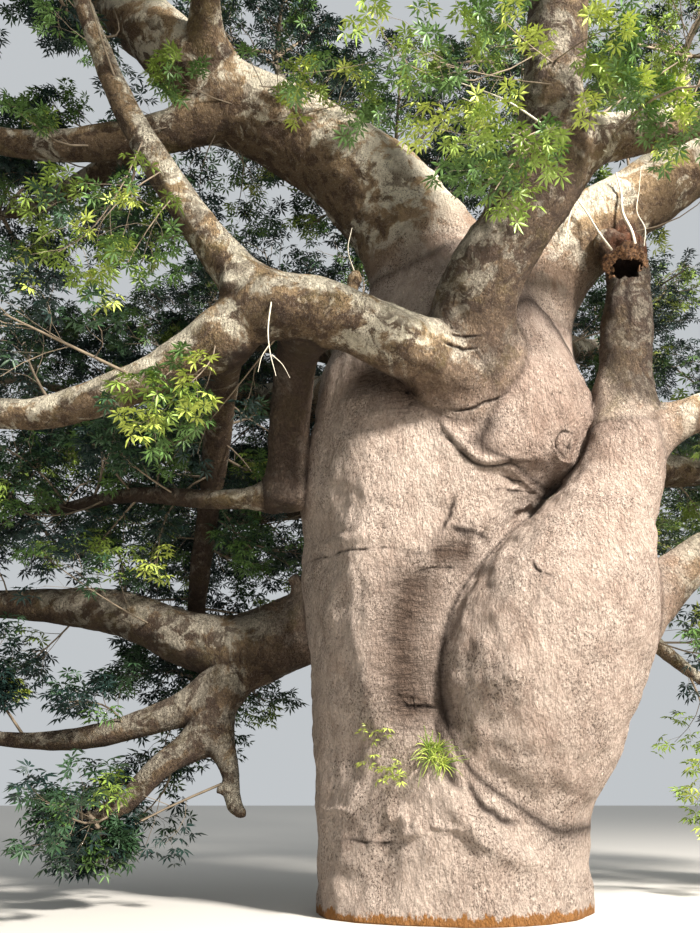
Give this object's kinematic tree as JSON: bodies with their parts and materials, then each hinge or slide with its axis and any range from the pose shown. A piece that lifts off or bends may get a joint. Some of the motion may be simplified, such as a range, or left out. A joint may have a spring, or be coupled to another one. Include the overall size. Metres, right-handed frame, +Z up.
{
  "type": "baobab tree",
  "caption": "Baobab tree with a bottle-shaped double trunk, thick winding boughs and a wide, open crown of leafy masses.",
  "frame": {"origin": "middle of the flat cut under the trunk, at ground level", "axes": "+Z up, +X to the right and -Y towards the viewer of the side with the crease between the two stems"},
  "size_m": [18.6273, 15.1855, 15.2465],
  "materials": {
    "bark": "matte",
    "foliage": "satin"
  },
  "bodies": {
    "root": {"trunk": "bark", "upper_left_bough": "bark", "right_bough": "bark", "front_bough": "bark", "front_left_bough": "bark", "low_left_bough": "bark", "right_stem": "bark", "middle_bough": "bark", "back_left_bough": "bark", "back_bough": "bark", "back_right_bough": "bark", "rear_right_limb": "bark", "rear_left_limb": "bark", "rear_left_low_limb": "bark", "rear_right_low_limb": "bark", "bulge_arm": "bark", "bulge_rear_arm": "bark", "far_left_limb": "bark", "high_left_rear_limb": "bark", "upper_riser": "bark", "rising_left_limb": "bark", "hanging_limb": "bark", "hanging_limb_arm": "bark", "rear_hanging_limb": "bark", "low_left_fork": "bark", "low_left_droop": "bark", "low_left_stub": "bark", "front_right_limb": "bark", "front_overhead_limb": "bark", "left_overhead_limb": "bark", "right_riser": "bark", "right_stem_arm": "bark", "upper_left_bough_foliage": "foliage", "right_bough_foliage": "foliage", "front_bough_foliage": "foliage", "front_left_bough_foliage": "foliage", "low_left_bough_foliage": "foliage", "middle_bough_foliage": "foliage", "back_left_bough_foliage": "foliage", "back_bough_foliage": "foliage", "back_right_bough_foliage": "foliage", "rear_right_limb_foliage": "foliage", "rear_left_limb_foliage": "foliage", "rear_left_low_limb_foliage": "foliage", "rear_right_low_limb_foliage": "foliage", "bulge_arm_foliage": "foliage", "bulge_rear_arm_foliage": "foliage", "far_left_limb_foliage": "foliage", "high_left_rear_limb_foliage": "foliage", "upper_riser_foliage": "foliage", "rising_left_limb_foliage": "foliage", "hanging_limb_arm_foliage": "foliage", "rear_hanging_limb_foliage": "foliage", "low_left_fork_foliage": "foliage", "low_left_droop_foliage": "foliage", "front_right_limb_foliage": "foliage", "front_overhead_limb_foliage": "foliage", "left_overhead_limb_foliage": "foliage", "right_riser_foliage": "foliage", "right_stem_arm_foliage": "foliage"}
  },
  "joints": []
}
